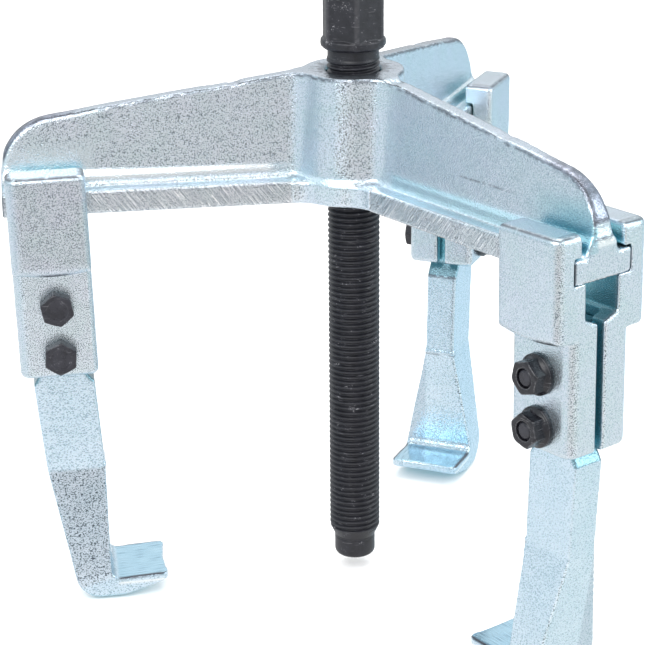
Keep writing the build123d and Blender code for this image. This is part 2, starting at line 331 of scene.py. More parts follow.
def math_node(tree, operation, first, second=0.0):
    """Arithmetic on numbers or on other nodes' outputs."""
    made = node(tree, "ShaderNodeMath", operation=operation)
    for socket, value in zip(made.inputs, (first, second)):
        if isinstance(value, float):
            socket.default_value = value
        else:
            link(tree, value, socket)
    return made.outputs[0]


def mixed(tree, factor, first, second, blend="MIX"):
    """Two colours mixed. Each of the three can be a fixed value or another node's output."""
    made = node(tree, "ShaderNodeMix", data_type="RGBA", blend_type=blend)
    for name, value in (("Factor", factor), ("A", first), ("B", second)):
        socket = [item for item in made.inputs if item.name == name and item.enabled][0]
        if isinstance(value, float):
            socket.default_value = value
        elif isinstance(value, tuple):
            socket.default_value = (*value, 1)
        else:
            link(tree, value, socket)
    return [item for item in made.outputs if item.enabled][0]


def tinted(tree, factor, colour, filter_colour):
    """A colour seen through a filter, as far as factor says."""
    return mixed(tree, factor, colour, mixed(tree, 1.0, colour, filter_colour, "MULTIPLY"))


def bump(tree, shader, height, strength, depth):
    """Relief too fine for the mesh, depth millimetres deep."""
    made = node(tree, "ShaderNodeBump", Strength=strength, Distance=depth * MM)
    link(tree, height, made.inputs["Height"])
    link(tree, made.outputs["Normal"], shader.inputs["Normal"])


def grain_and_sparkle(tree, tint, fine):
    """Zinc on a forged skin: fine pits, or coarse grit with painted sparkle where the mesh says so."""
    pits = ramp(
        tree, fine["Fac"], ((0.34, (0.76, 0.78, 0.80)), (0.45, (0.95, 0.96, 0.97)), (0.60, grey(1.0)))
    )
    # painted sparkle: dark specks and glints brighter than white
    grit_and_sparkle = ramp(
        tree, fine["Fac"],
        ((0.34, (0.18, 0.18, 0.19)), (0.43, (0.78, 0.76, 0.75)), (0.50, (1.22, 1.15, 1.12))),
    )
    skin = mixed(tree, 1.0, tint, mixed(tree, stored(tree, "grit_and_sparkle"), pits, grit_and_sparkle), "MULTIPLY")
    return mixed(tree, 0.12, skin, fine["Color"], "OVERLAY"), grit_and_sparkle


def machined(tree, colour, tint, grit_and_sparkle, strokes):
    """Lays the mill's slanted strokes and the grinder's streaks over a colour."""
    hatch = ramp(
        tree, strokes,
        ((0.28, (0.62, 0.62, 0.63)), (0.46, (0.84, 0.82, 0.81)), (0.62, (0.90, 0.87, 0.86)),
         (0.72, (1.42, 1.33, 1.29))),
    )
    hatch = mixed(tree, 0.6, hatch, mixed(tree, 1.0, hatch, grit_and_sparkle, "MULTIPLY"))
    streaks = ramp(
        tree, strokes,
        ((0.24, (0.34, 0.46, 0.54)), (0.35, (0.62, 0.78, 0.84)), (0.70, (0.76, 0.90, 0.94))),
    )
    colour = mixed(tree, stored(tree, "milled"), colour, mixed(tree, 1.0, tint, hatch, "MULTIPLY"))
    return mixed(tree, stored(tree, "ground"), colour, mixed(tree, 1.0, tint, streaks, "MULTIPLY"))


def marks_and_painted_light(tree, colour):
    """Lays the greyed, painted shade, painted light and marked places over a colour, and painted shade in
    the hollows.
    """
    painted_light = stored(tree, "painted_light")
    # greyer along the ridges, and painted shade on some faces
    colour = tinted(tree, stored(tree, "grey_and_shade"), colour, (0.50, 0.47, 0.51))
    # painted shade: darker and bluer in recesses and under parts
    colour = tinted(tree, stored(tree, "painted_shade"), colour, (0.54, 0.83, 0.85))
    # painted light: pale zinc laid over painted highlights and reflections
    colour = mixed(tree, painted_light, colour, (0.92, 0.95, 0.96))
    # dark lines, chips and stains, and painted shade and dark reflection lines
    colour = mixed(tree, stored(tree, "mark_and_shade"), colour, (0.10, 0.11, 0.13))
    # painted shade: occlusion darkens and tints the base colour in hollows
    hollow = node(tree, "ShaderNodeAmbientOcclusion", samples=6, Distance=SHADE_REACH * MM)
    shade = ramp(
        tree, hollow.outputs["AO"],
        ((0.06, (0.40, 0.66, 0.69)), (0.30, (0.80, 0.94, 0.96)), (0.52, grey(1.0))),
    )
    # painted light also takes away the painted shade of the hollows
    shade = mixed(tree, math_node(tree, "MULTIPLY", painted_light, 1.8), shade, grey(1.0))
    return mixed(tree, 1.0, colour, shade, "MULTIPLY")


def zinc(name, grain, light, dark, level=1.0):
    """Bright zinc plating on a forged or milled skin. grain is the size of its pits, in mm, and
    level how much lower than wide they are."""
    mat, tree, shader = material(name)
    place = object_place(tree)
    drawn = node(tree, "ShaderNodeMapping", Scale=(1.0, 1.0, level))
    link(tree, place, drawn.inputs["Vector"])
    coarse = texture(tree, place, size=9.0, detail=3.0, roughness=0.6)
    fine = texture(tree, drawn.outputs["Vector"], size=grain, detail=0.8, roughness=0.35)
    cut = node(tree, "ShaderNodeAttribute", attribute_name="cut")
    strokes = node(tree, "ShaderNodeTexNoise", Scale=1.0, Detail=0.0)
    link(tree, cut.outputs["Vector"], strokes.inputs["Vector"])

    tint = ramp(tree, coarse["Fac"], ((0.30, dark), (0.70, light)))
    skin, grit_and_sparkle = grain_and_sparkle(tree, tint, fine)
    colour = machined(tree, skin, tint, grit_and_sparkle, strokes.outputs["Fac"])
    link(tree, marks_and_painted_light(tree, colour), shader.inputs["Base Color"])
    shine = ((0.30, grey(ZINC_ROUGHNESS + 0.08)), (0.70, grey(ZINC_ROUGHNESS - 0.03)))
    link(tree, ramp(tree, fine["Fac"], shine), shader.inputs["Roughness"])
    cut_depth = math_node(tree, "MULTIPLY", stored(tree, "milled"), 0.6)
    height = mixed(tree, cut_depth, fine["Fac"], strokes.outputs["Fac"])
    height = mixed(tree, stored(tree, "ground"), height, grey(0.5))
    bump(tree, shader, height, strength=1.0, depth=0.085)
    shader.inputs["Metallic"].default_value = 0.95
    return mat


def black(name, low, high, rough, scuff=0.62):
    """Black oxide, from low to high in brightness, with fine scuffs and bright specks where it is
    worn. A lower scuff gives more specks."""
    mat, tree, shader = material(name)
    place = object_place(tree)
    fine = texture(tree, place, size=0.45, detail=3.0, roughness=0.7)
    patch = texture(tree, place, size=3.0, detail=4.0, roughness=0.65)
    slant = node(tree, "ShaderNodeMapping", Rotation=(0.5, 0.35, 0.2), Scale=(0.5, 0.5, 7.0))
    link(tree, place, slant.inputs["Vector"])
    scratch = texture(tree, slant.outputs["Vector"], size=1.6, detail=1.0, roughness=0.5)

    skin = ramp(tree, patch["Fac"], ((0.3, (low, low, low * 1.35)), (0.7, (high, high, high * 1.35))))
    spots = math_node(tree, "MULTIPLY", fine["Fac"], patch["Fac"])
    worn = ramp(tree, spots, ((scuff * 0.62, grey(0.0)), (scuff * 0.74, (0.24, 0.24, 0.25))))
    lines = ramp(tree, scratch["Fac"], ((0.70, grey(0.0)), (0.78, (0.08, 0.08, 0.085))))
    colour = mixed(tree, 1.0, mixed(tree, 1.0, skin, worn, "ADD"), lines, "ADD")
    colour = mixed(tree, stored(tree, "edge"), colour, (0.13, 0.13, 0.14))
    link(tree, colour, shader.inputs["Base Color"])
    shine = ((0.3, grey(rough - 0.07)), (0.7, grey(rough + 0.10)))
    link(tree, ramp(tree, patch["Fac"], shine), shader.inputs["Roughness"])
    bump(tree, shader, fine["Fac"], strength=0.45, depth=0.07)
    shader.inputs["Specular IOR Level"].default_value = 0.42
    return mat


ZINC_BEAM = zinc("zinc_crossbeam", grain=0.32, light=(0.72, 0.79, 0.87), dark=(0.67, 0.78, 0.83))
ZINC_SLIDE = zinc("zinc_slide", grain=0.27, light=(0.67, 0.74, 0.82), dark=(0.62, 0.73, 0.77))
ZINC_HOOK = zinc("zinc_hook", grain=0.44, light=(0.66, 0.79, 0.88), dark=(0.60, 0.75, 0.84), level=1.5)
BLACK_SPINDLE = black("black_spindle", low=0.008, high=0.017, rough=0.38, scuff=0.58)
BLACK_POINT = black("black_point", low=0.008, high=0.017, rough=0.38)
BLACK_SCREWS = {
    "bolt": black("black_bolt", low=0.011, high=0.024, rough=0.27),
    "nut": black("black_nut", low=0.006, high=0.013, rough=0.23),
}

# --- crossbeam -----------------------------------------------------------------------------
BEAM_VOXEL = 0.45
HUB_UP = 33.4           # flat top of the hub
HUB_R = 17.5            # outside of this the hub has run into the webs
BORE_R = 7.0
RIDGE = ((15.0, HUB_UP), (79.3, 24.5))      # out, up: the two ends of the straight ridge
NOSE = (13.1, 12.3)     # length and height of the rounded nose
FLANGE_HALF, FLANGE_T = 9.24, 6.2
WEB_FOOT_HALF, WEB_FOOT_UP = 4.85, 10.4     # the web's thicker foot ends here
LUG_OUT = 17.6          # the milled sides start here; inside it the lug is left as forged
MIRROR_UP = 14.0        # an arm's web mirrors its clamp up to about here
# arm, distance out, depth and half length of the dents in the ridges
DENTS = (
    ("left", 31.5, 0.7, 1.8), ("left", 36.0, 0.35, 3.0), ("front", 17.5, 0.8, 1.5),
    ("rear", 52.0, 0.4, 2.0), ("front", 58.0, 0.35, 2.4),
)
SCRATCH_UP, SCRATCH_OUT = 15.2, (45, 68)    # the fine scratch along the front arm's web
STROKE = (0.15, 7.0, 3.0)   # width, length and depth of a stroke of the mill
IN_MM = Matrix.Scale(1 / MM, 4) @ Matrix.Translation((0, 0, -RAIL_Z * MM))


def beam_coordinates(p):
    """The arm that each point is nearest to, and the point's out, across and up there."""
    best = np.full(len(p), -1e9)
    across, number = np.zeros(len(p)), np.zeros(len(p), dtype=int)
    for k, name in enumerate(ARMS):
        along = joint_axis(name)
        o = p[:, 0] * along.x + p[:, 1] * along.y
        t = p[:, 1] * along.x - p[:, 0] * along.y
        nearer = o > best
        best, across = np.where(nearer, o, best), np.where(nearer, t, across)
        number = np.where(nearer, k, number)
    return number, best, across, p[:, 2]


def ridge_up(out):
    """Height of the web's ridge at a distance out."""
    slope = (RIDGE[1][1] - RIDGE[0][1]) / (RIDGE[1][0] - RIDGE[0][0])
    line = RIDGE[0][1] + slope * (out - RIDGE[0][0])
    drop = np.clip((out - RIDGE[1][0]) / NOSE[0], 0, 0.999)
    return np.where(out < RIDGE[0][0], HUB_UP, line) - NOSE[1] * (1 - np.sqrt(1 - drop * drop))


def beam_zones(p):
    """Where each point of the crossbeam lies, and how much it belongs to each zone."""
    arm, out, across, up = beam_coordinates(p)
    wide, radius = np.abs(across), np.hypot(p[:, 0], p[:, 1])
    milled = (1 - smooth(up, FLANGE_T - 0.1, FLANGE_T + 0.2)) * smooth(out, LUG_OUT, LUG_OUT + 0.3)
    milled *= smooth(wide, FLANGE_HALF - 0.5, FLANGE_HALF - 0.2) + (1 - smooth(up, 0.1, 0.4))
    flange = 1 - smooth(up, FLANGE_T + 0.3, FLANGE_T + 0.8)
    crest = ridge_up(out)
    front = arm == ARMS.index("front")
    return SimpleNamespace(
        arm=arm, out=out, across=across, up=up, wide=wide, radius=radius, crest=crest,
        milled=np.clip(milled, 0, 1),
        metal=smooth(radius, BORE_R + 0.3, BORE_R + 0.6),       # 0 in the bore
        flange=flange,
        ridge=smooth(up, crest - 2.0, crest - 0.8) * (1 - flange),
        front_side=front * (1 - smooth(across, -2.5, -1.5)) * smooth(out, 19, 23),
    )


def soften_beam(mesh, at):
    """Rounds the forged corners and leaves the milled ones sharp."""
    soft = (1 - np.maximum(at.milled, at.flange * 0.75)) * at.metal * (1 - 0.6 * at.ridge)
    root = (1 - smooth(at.radius, 20, 23)) * (1 - smooth(at.up, 11, 14)) * smooth(at.up, 5.5, FLANGE_T)
    web_foot = band(at.up, FLANGE_T + 0.8, 1.2) * (1 - smooth(at.wide, 6.6, 7.2)) * at.metal
    arm_end = smooth(at.out, 88.5, 90.5) * (1 - smooth(at.wide, 5.5, 7.5)) * smooth(at.up, 5.0, 6.5)
    relax(mesh, 0.35 + 0.65 * soft, 2)
    relax(mesh, soft, 3)
    relax(mesh, root * at.metal, 10)
    relax(mesh, at.ridge * smooth(at.out, 62, 76), 22)
    relax(mesh, web_foot, 6)
    relax(mesh, arm_end, 14)


def forge_beam(mesh, at):
    """Raises the forged skin and sinks the dents in the ridges."""
    p = points(mesh)
    skin = forged(p, 11)
    dents = np.zeros(len(p))
    for name, middle, depth, half in DENTS:
        here = (at.arm == ARMS.index(name)) * at.ridge * band(at.out, middle, half)
        dents += depth * here * (0.7 + 0.3 * noise(p, 0.9, 5))
    lug = (1 - smooth(at.out, LUG_OUT, LUG_OUT + 0.25)) * smooth(at.wide, 5, 6) * smooth(at.up, 0.4, 1.2)
    lug *= 1 - smooth(at.up, FLANGE_T - 0.2, FLANGE_T + 1.4)
    height = skin * np.maximum(1 - at.milled, 0.05) * at.metal * (1 - 0.45 * at.ridge)
    height += lug * (0.28 + 1.6 * skin) - dents * smooth(normals(mesh)[:, 2], 0.2, 0.7)
    push(mesh, height)


def beam_marks_and_shade(mesh, at, p):
    """Dark lines and chips, painted shade round the bore and painted shade at the flanges' ends. The
    trimmed flash leaves a ragged line below the ridge, and the mill a fine one beside the web."""
    edge = at.crest - at.up + 0.35 * noise(p, 1.6, 21) + 0.25 * noise(p, 0.7, 22)
    sideways = 1 - smooth(np.abs(normals(mesh)[:, 2]), 0.85, 0.97)
    broken = smooth(noise(p, 5.0, 23) + 0.5 * noise(p, 1.5, 24), -0.85, -0.15)
    flash = band(edge, 0.45, 0.36) * sideways * broken * at.metal * (1 - at.flange)

    seam = band(at.wide, WEB_FOOT_HALF, 0.22) * smooth(at.out, 18, 20)
    seam *= smooth(at.up, FLANGE_T - 0.3, FLANGE_T - 0.1) * smooth(noise(p, 7.0, 25), -0.5, 0.2)
    seam *= 1 - smooth(at.up, FLANGE_T + 0.7, FLANGE_T + 1.1)

    # painted shade and reflection of the spindle in a ring round the bore, with dark dots further out
    bore_shade_and_dots = band(at.radius, BORE_R + 0.9, 1.3)
    bore_shade_and_dots += band(at.radius, BORE_R + 2.6, 1.6) * smooth(noise(p, 0.9, 27), 0.0, 0.5)
    bore_shade_and_dots = np.clip(bore_shade_and_dots, 0, 1) * smooth(at.up, HUB_UP - 0.8, HUB_UP - 0.4)

    chips = smooth(noise(p, 1.0, 28) + 0.6 * noise(p, 2.5, 29), -0.5, 0.5)
    nose = at.ridge * smooth(at.out, 70, 82) * chips

    start, end = SCRATCH_OUT
    scratch = band(at.up, SCRATCH_UP + 0.10 * noise(p, 2.5, 26), 0.22)
    scratch *= smooth(at.out, start, start + 2) * (1 - smooth(at.out, end - 10, end))
    scratch *= (at.arm == ARMS.index("front")) * (at.across < 0) * smooth(noise(p, 0.8, 30), -0.8, 0.2)

    # painted shade on the flanges' end corners, as in a gap beside the rail
    rail_end = at.out.max()
    gap_shade = smooth(at.wide, FLANGE_HALF - 0.45, FLANGE_HALF - 0.15)
    gap_shade *= smooth(at.out, rail_end - 0.5, rail_end - 0.2) * (1 - smooth(at.up, FLANGE_T, FLANGE_T + 0.4))
    return np.max((0.85 * flash, 0.35 * seam, 0.75 * bore_shade_and_dots, 0.62 * nose, 0.7 * scratch, 0.9 * gap_shade), axis=0)


def crossbeam():
    """Three webs on three flanges, forged in one with the hub; the flanges are milled."""
    beam = remeshed("crossbeam", IN_MM, BEAM_VOXEL, "forged_crossbeam")
    mesh = beam.data
    at = beam_zones(points(mesh))
    soften_beam(mesh, at)
    p = points(mesh)
    forge_beam(mesh, at)

    out, up, radius = at.out, at.up, at.radius
    # greyer along the ridge top, most at the nose, and at the arms' far ends
    grey_and_shade = smooth(up, at.crest - 1.2, at.crest - 0.5) * (1 - at.flange)
    grey_and_shade *= 0.36 + 0.64 * smooth(out, 66, 80) * smooth(up, 6, 11)
    grey_and_shade = np.maximum(grey_and_shade, 0.15 * smooth(out, out.max() - 0.6, out.max() - 0.3))
    # the web above a clamp mirrors the clamp: pale on the left arm, deep on the front one
    clamped = smooth(up, 9, 10) * (1 - at.ridge)
    pale = clamped * smooth(out, 67, 70) * (at.arm == ARMS.index("left")) * smooth(at.across, 0, 1)
    pale *= 1 - smooth(up + 0.8 * noise(p, 1.5, 31), MIRROR_UP, MIRROR_UP + 5.5)
    deep = clamped * smooth(out, 64, 86) * at.front_side * (1 - smooth(up, MIRROR_UP - 1, MIRROR_UP + 8))
    foot = smooth(up, FLANGE_T + 0.2, FLANGE_T + 0.6) * smooth(out, 15, 19)
    foot *= 1 - smooth(up, WEB_FOOT_UP - 0.8, WEB_FOOT_UP)
    # painted highlight along the fillet at the web's foot
    painted_rim = foot * smooth(up, 7.6, 8.4) * smooth(out, 21, 24) * (1 - at.front_side)
    hub = (1 - smooth(radius, HUB_R, HUB_R + 1.5)) * smooth(up, 8, 10) * (1 - grey_and_shade)
    hub *= smooth(at.wide / np.maximum(out, 1), 0.75, 1.10)

    width, length, depth = STROKE
    cut = ((out * 0.79 - up * 0.61) / width, (out * 0.61 + up * 0.79) / length, at.across / depth)
    store(mesh, "cut", np.column_stack(cut))
    store(mesh, "milled", at.milled)
    store(mesh, "mark_and_shade", beam_marks_and_shade(mesh, at, p))
    # painted shade on one side of the front arm's web
    store(mesh, "grey_and_shade", np.maximum(grey_and_shade, 0.16 * at.front_side * smooth(up, 10, 12)))
    # painted light: the clamp's pale reflection on the left web, and the highlight at the web's foot
    store(mesh, "painted_light", np.clip(0.45 * pale + 0.85 * painted_rim, 0, 1))
    # painted shade: the clamp's deep reflection on the front web, a little on the pale one, and the front
    # web's foot
    store(mesh, "painted_shade", np.clip(0.85 * deep + 0.15 * pale + 0.45 * foot * at.front_side, 0, 1))
    calm = np.maximum(0.9 * foot, 0.1 + 0.6 * np.maximum(grey_and_shade, pale)) - 3.5 * hub
    finish_piece(
        beam, IN_MM.inverted(), ZINC_BEAM, "crossbeam", "crossbeam", calm
    )


# --- spindle and its point -----------------------------------------------------------------
PITCH = 1.5
THREAD_R, THREAD_DEPTH = 7.0, 0.80
THREAD_ENDS = (9.2, 142.3)
POINT_R, POINT_H = 5.6, 5.5
NECK_R = 6.72
COLLAR_UP, COLLAR_TOP, COLLAR_R = 145.0, 148.2, 8.5
HEX_AF, HEX_TURN, HEX_TOP = 15.0, 28.0, 165.2
HEX_CORNER_R = 8.45     # the hexagon's corners are turned down to this
SPINDLE_STEPS, POINT_STEPS = 84, 72     # round the axis
ROWS_PER_TURN = 12      # of the thread
CAP = (0.0, 0.35, 0.7, 0.9, 0.97)       # radii of the rings that close an end
POINT_PROFILE = (       # up, radius
    (0.0, 0.02), (0.0, 1.6), (0.0, 3.2), (0.02, 4.55), (0.12, 4.95), (0.32, 5.22), (0.62, 5.42),
    (1.0, 5.54), (1.6, 5.59), (2.4, POINT_R), (3.4, POINT_R), (4.4, POINT_R), (5.0, POINT_R),
    (5.3, 5.58), (5.42, 5.5), (5.45, 5.3), (5.45, 3.0), (5.45, 0.02),
)
IN_METRES = Matrix.Scale(MM, 4)


def turned(name, radii, heights):
    """A closed piece round the Z axis: radii[row][step] at heights[row], in millimetres."""
    rows, steps = radii.shape
    angle = np.arange(steps) * 2 * math.pi / steps
    p = np.stack(
        (radii * np.cos(angle), radii * np.sin(angle), np.repeat(heights[:, None], steps, 1)), -1
    ).reshape(-1, 3)
    a = (np.arange(rows - 1)[:, None] * steps + np.arange(steps)).ravel()
    b = (np.arange(rows - 1)[:, None] * steps + (np.arange(steps) + 1) % steps).ravel()
    quads = np.column_stack((a, b, b + steps, a + steps)).tolist()
    bottom, top = list(range(steps))[::-1], [(rows - 1) * steps + k for k in range(steps)]
    mesh = bpy.data.meshes.new(name)
    mesh.from_pydata(p.tolist(), [], quads + [bottom, top])
    mesh.validate()
    return new_object(name, mesh)


def soft_max(a, b, blend):
    """The larger of two numbers, with a rounded change from one to the other."""
    mix = np.clip(0.5 + (a - b) / (2 * blend), 0, 1)
    return b + (a - b) * mix + blend * mix * (1 - mix)


def thread_radii(z, angle):
    """The lead, the helical thread and the neck."""
    start, end = THREAD_ENDS
    phase = np.mod(z / PITCH - angle / (2 * math.pi), 1.0)
    crest = smooth(np.abs(phase - 0.5) * 2, 0.10, 0.86)
    threaded = smooth(z, start - 1.6, start - 0.4) * (1 - smooth(z, end - 0.5, end))
    radii = THREAD_R - 0.06 - THREAD_DEPTH * (1 - crest) * threaded
    lead = POINT_R + 0.02 + (THREAD_R - POINT_R) * np.clip((z - POINT_H - 0.5) / 3.0, 0, 1)
    neck = smooth(z, end - 0.1, end + 0.5)
    return np.minimum(radii, lead) * (1 - neck) + NECK_R * neck


def head_radii(z, angle):
    """The collar, and the drive hexagon above it."""
    ring = COLLAR_R - 1.1 * (1 - smooth(z, COLLAR_UP - 0.3, COLLAR_UP + 1.1))
    ring = ring - 1.7 * smooth(z, COLLAR_TOP - 0.9, COLLAR_TOP + 0.4) + 0 * angle
    corner = np.mod(np.degrees(angle) - HEX_TURN, 60.0) - 30.0
    sharp = HEX_AF / 2 / np.cos(np.radians(corner))
    chamfer = 0.9 * smooth(z, HEX_TOP - 1.2, HEX_TOP) * smooth(sharp, 7.7, 8.6)
    hexagon = np.minimum(sharp, HEX_CORNER_R) - chamfer
    return np.where(z < COLLAR_UP + 0.5, ring, soft_max(hexagon, ring, 0.18))


def spindle():
    """Thread, neck, collar and drive hexagon, turned in one."""
    cap = np.array(CAP)
    thread_rows = np.arange(POINT_H, COLLAR_UP, PITCH / ROWS_PER_TURN)
    head_rows = np.arange(COLLAR_UP, HEX_TOP + 0.001, 0.2)
    closing = np.ones(len(cap))
    heights = np.concatenate((POINT_H * closing, thread_rows, head_rows, HEX_TOP * closing))
    z = heights[:, None]
    angle = (np.arange(SPINDLE_STEPS) * 2 * math.pi / SPINDLE_STEPS)[None, :]
    radii = np.where(z < COLLAR_UP - 1e-6, thread_radii(z, angle), head_radii(z, angle))
    shrink = np.ones(len(heights))
    shrink[:len(cap)], shrink[-len(cap):] = cap, cap[::-1]
    shrink[0] = shrink[-1] = 0.02

    obj = turned("threaded_spindle", radii * shrink[:, None], heights)
    p = points(obj.data)
    head = smooth(p[:, 2], COLLAR_UP - 0.1, COLLAR_UP + 0.3)
    collar = head * (1 - smooth(p[:, 2], COLLAR_TOP - 0.2, COLLAR_TOP + 1.2))
    uneven = 0.05 * noise(p, 1.1, 41) + 0.04 * noise(p, 0.5, 42)
    nicks = smooth(noise(p, 1.3, 43) + 0.5 * noise(p, 4.0, 44), 0.75, 1.0)
    push(obj.data, uneven * (0.12 + 0.35 * head + 1.1 * collar) - 0.10 * nicks * (0.4 + head))
    p = points(obj.data)
    p[:, 2] = np.clip(p[:, 2], POINT_H, HEX_TOP)
    put_points(obj.data, p)
    store(obj.data, "edge", 0.25 * smooth(convex(obj.data, 0.10), 0.3, 1.0))
    finish_piece(obj, IN_METRES, BLACK_SPINDLE, "spindle", "spindle")


def spindle_point():
    """A plain pin with a chamfered end face."""
    up, radius = np.array(POINT_PROFILE).T
    obj = turned("spindle_point_turned", np.repeat(radius[:, None], POINT_STEPS, 1), up)
    p = points(obj.data)
    side = smooth(p[:, 2], 0.3, 1.0) * (1 - smooth(p[:, 2], 4.6, 5.0))
    push(obj.data, 0.02 * noise(p, 1.2, 51) * side)
    finish_piece(
        obj, IN_METRES, BLACK_POINT, "spindle_point", "spindle_point"
    )


# --- jaws ----------------------------------------------------------------------------------
SLIDE_VOXEL, HOOK_VOXEL, SCREW_VOXEL = 0.38, 0.42, 0.19
SLIDE_IN, SLIDE_OUT = 9.7, 10.8     # reach of a slide half towards the spindle and away from it
SLIDE_TOP = 12.0
SLIDE_UPPER = 15.2      # outer face of the upper part, from the middle plane
GROOVE = (9.7, -1.5)    # half width of the groove for the rail, and its floor
CAVITY_HALF = 6.0       # half width of the cavity under the groove
SHOULDER_TOP, LEG_TOP = -45.0, -48.4    # the hook's leg comes out of the clamp here
LEG_INNER = -8.2        # inner face of the leg
CREASE_UP = -73.3       # where the leg starts to flare
FOOT_TOP, FOOT_ROOT = -105.4, -10.5     # top of the foot, and where it leaves the leg
HEAD_FACE = 13.0        # the dish in a bolt's head is outside of this


def slide_half(name, side, place, seed):
    """One half of a clamp: forged outside, plain where it meets the rail and the hook."""
    label = f"{name}_slide_half_{side}_side"
    half = remeshed(label, place.inverted(), SLIDE_VOXEL, f"{name}_clamp_half_{side}_side")
    mesh = half.data
    along, across, up = points(mesh).T
    ends = np.maximum(-along - SLIDE_IN, along - SLIDE_OUT)     # how far past the end faces
    outer = smooth(np.abs(across), 9.5, 9.8) + smooth(up, SLIDE_TOP - 0.8, SLIDE_TOP - 0.2)
    outer += smooth(ends, -0.5, -0.2) * smooth(np.abs(across), 1.5, 2.5)
    outer = np.clip(outer, 0, 1)
    relax(mesh, 0.35 + 0.65 * outer, 2)
    p = points(mesh)
    push(mesh, forged(p, seed) * (0.12 + 0.88 * outer))

    wide, up = np.abs(p[:, 1]), p[:, 2]
    # painted shade inside the rail's groove and the cavity below it
    reach = np.where(up > GROOVE[1], GROOVE[0], CAVITY_HALF)
    within = (1 - smooth(ends, -0.8, -0.3)) * (1 - smooth(wide - reach, -0.2, 0.0))
    store(mesh, "painted_shade", within * (1 - smooth(up, SLIDE_TOP - 1.2, SLIDE_TOP - 0.6)))
    # painted reflection: a dark ragged line where the top edge rolls over
    painted_rim = np.maximum(smooth(wide, SLIDE_UPPER - 1.6, SLIDE_UPPER - 1.1), smooth(ends, -2.1, -1.6))
    ragged = smooth(noise(p, 1.2, 61) + 0.5 * noise(p, 3.0, 62), -1.1, -0.2)
    rolling = band(normals(mesh)[:, 2], 0.80, 0.22) * smooth(up, SLIDE_TOP - 1.2, SLIDE_TOP - 0.8)
    store(mesh, "mark_and_shade", 0.85 * painted_rim * ragged * rolling)
    # painted shade on the left clamp's outer face
    outer_face = smooth(p[:, 1], SLIDE_UPPER - 1.0, SLIDE_UPPER - 0.4)
    store(mesh, "grey_and_shade", 0.2 * (name == "left") * outer_face)
    finish_piece(half, place, ZINC_SLIDE, label, f"{name}_jaw", calm=0.05)


def hook(name, place, seed):
    """The hooked leg: forged, with a ground top on its foot."""
    label = f"{name}_hook"
    obj = remeshed(label, place.inverted(), HOOK_VOXEL, f"{name}_forged_hook")
    mesh = obj.data
    leg = 1 - smooth(points(mesh)[:, 2], SHOULDER_TOP, SHOULDER_TOP + 1.0)
    relax(mesh, 0.3 + 0.7 * leg, 3)
    p = points(mesh)
    along, across, up = p.T
    inner = 1 - smooth(along, LEG_INNER - 0.8, LEG_INNER)
    toe = 1 - smooth(along, FOOT_ROOT - 1.0, FOOT_ROOT)
    foot_top = smooth(up, FOOT_TOP - 0.6, FOOT_TOP) * toe
    crease = 0.30 * band(up, CREASE_UP + 0.4, 0.6) * inner
    push(mesh, forged(p, seed) * leg * (1.3 - 1.2 * foot_top) + crease)

    facing_up = normals(mesh)[:, 2]
    # painted shade on the shoulder under the clamp and on the part inside the clamp
    shoulder = smooth(up, LEG_TOP - 0.2, LEG_TOP + 0.2) * smooth(facing_up, 0.1, 0.35)
    store(mesh, "painted_shade", np.clip(1.5 * shoulder + 1 - leg, 0, 1))
    ragged = smooth(noise(p, 1.3, 81) + 0.6 * noise(p, 4.0, 82), -0.6, 0.1)
    # painted shade lines where the leg leaves the clamp and along the crease
    lines = (band(up, LEG_TOP - 0.3, 0.35) + 0.7 * band(up, CREASE_UP - 0.3, 0.3)) * inner
    to_side = np.abs(across) - np.abs(across).max()     # 0 at the foot's sides, negative inside
    # painted dark reflection on the foot's rolled top edge
    painted_rim = smooth(to_side, -1.1, -0.7) * smooth(facing_up, 0.25, 0.5) * foot_top
    # painted highlight along the foot's top edges
    store(mesh, "painted_light", smooth(to_side, -0.5, -0.3) * band(up, FOOT_TOP - 0.7, 0.38) * toe)
    store(mesh, "mark_and_shade", np.clip(0.6 * shoulder + 0.9 * lines * ragged + painted_rim, 0, 1))
    store(mesh, "cut", np.column_stack((across / 0.22, along / 5.0, 0 * up)))
    store(mesh, "ground", foot_top * smooth(facing_up, 0.80, 0.95))
    # the flared part of the leg, above the sole, is rougher than the rest, and gets painted shade on one
    # side
    flared = 1 - smooth(up, CREASE_UP - 0.9, CREASE_UP - 0.1)
    flared *= smooth(up + 0.25 * along, FOOT_TOP - 2.1, FOOT_TOP - 0.1)
    store(mesh, "grey_and_shade", 0.30 * flared * smooth(across, 4.0, 5.0))
    finish_piece(
        obj, place, ZINC_HOOK, label, f"{name}_jaw", calm=0.75 - 1.35 * flared
    )


def screw(name, level, kind, bolt_up, place, seed):
    """A bolt or a nut, slightly uneven and worn bright along its edges."""
    label = f"{name}_{level}_{kind}"
    obj = remeshed(label, place.inverted(), SCREW_VOXEL, f"{label}_m5")
    relax(obj.data, np.full(len(obj.data.vertices), 0.8), 2)
    p = points(obj.data)
    push(obj.data, 0.018 * noise(p, 0.8, seed) + 0.012 * noise(p, 0.35, 92))
    if kind == "bolt":
        p = points(obj.data)
        from_axis = np.hypot(p[:, 0], p[:, 2] - bolt_up)
        dish = (1 - smooth(from_axis, 2.5, 2.9)) * smooth(p[:, 1], HEAD_FACE, HEAD_FACE + 0.3)
        p[:, 1] -= 0.14 * dish
        put_points(obj.data, p)
    store(obj.data, "edge", smooth(convex(obj.data, 0.05), 0.25, 0.9))
    finish_piece(obj, place, BLACK_SCREWS[kind], label, f"{name}_jaw")


